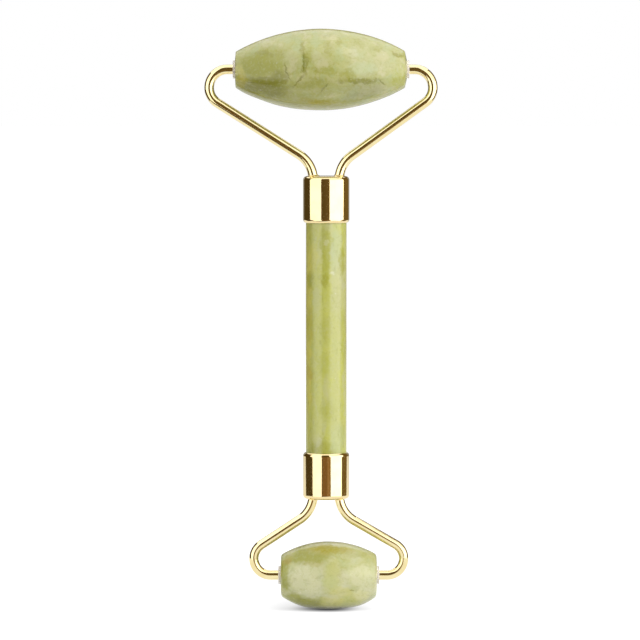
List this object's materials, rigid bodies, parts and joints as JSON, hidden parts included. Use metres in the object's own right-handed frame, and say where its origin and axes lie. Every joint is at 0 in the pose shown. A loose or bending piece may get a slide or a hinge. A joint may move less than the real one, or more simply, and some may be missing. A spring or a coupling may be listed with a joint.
{
  "type": "face roller",
  "caption": "Double-ended face massage roller: a jade rod handle with a gold wire fork at each end, holding a large and a small barrel-shaped jade roller that turn freely.",
  "frame": {"origin": "middle of the handle, on the handle's axis", "axes": "+Z along the handle towards the large roller, +X along both rollers' axles, +Y square to the plane of the two forks"},
  "size_m": [0.0582, 0.0204, 0.1453],
  "materials": {
    "handle_jade": "polished",
    "large_roller_jade": "polished",
    "small_roller_jade": "polished",
    "gold_plating": "mirror-bright gold plating",
    "gold_wire": "bright gold plating",
    "gold_brazing": "plated braze",
    "clear_plastic": "clear moulded plastic",
    "epoxy": "cured epoxy"
  },
  "bodies": {
    "handle_frame": {"handle_rod": "handle_jade", "upper_ferrule": "gold_plating", "lower_ferrule": "gold_plating", "large_fork_left_arm": "gold_wire", "large_fork_right_arm": "gold_wire", "small_fork_left_arm": "gold_wire", "small_fork_right_arm": "gold_wire", "upper_brazing": "gold_brazing", "lower_brazing": "gold_brazing", "upper_glue": "epoxy", "lower_glue": "epoxy"},
    "large_roller": {"large_roller_stone": "large_roller_jade", "large_roller_left_bush": "clear_plastic", "large_roller_right_bush": "clear_plastic"},
    "small_roller": {"small_roller_stone": "small_roller_jade", "small_roller_left_bush": "clear_plastic", "small_roller_right_bush": "clear_plastic"}
  },
  "joints": [
    {"name": "large_roller_spin", "type": "hinge", "parent": "handle_frame", "child": "large_roller", "pos_m": [-0.0013, 0, 0.067], "axis": [1, 0, 0], "continuous": true},
    {"name": "small_roller_spin", "type": "hinge", "parent": "handle_frame", "child": "small_roller", "pos_m": [0.00065, 0, -0.0596], "axis": [1, 0, 0], "continuous": true}
  ]
}
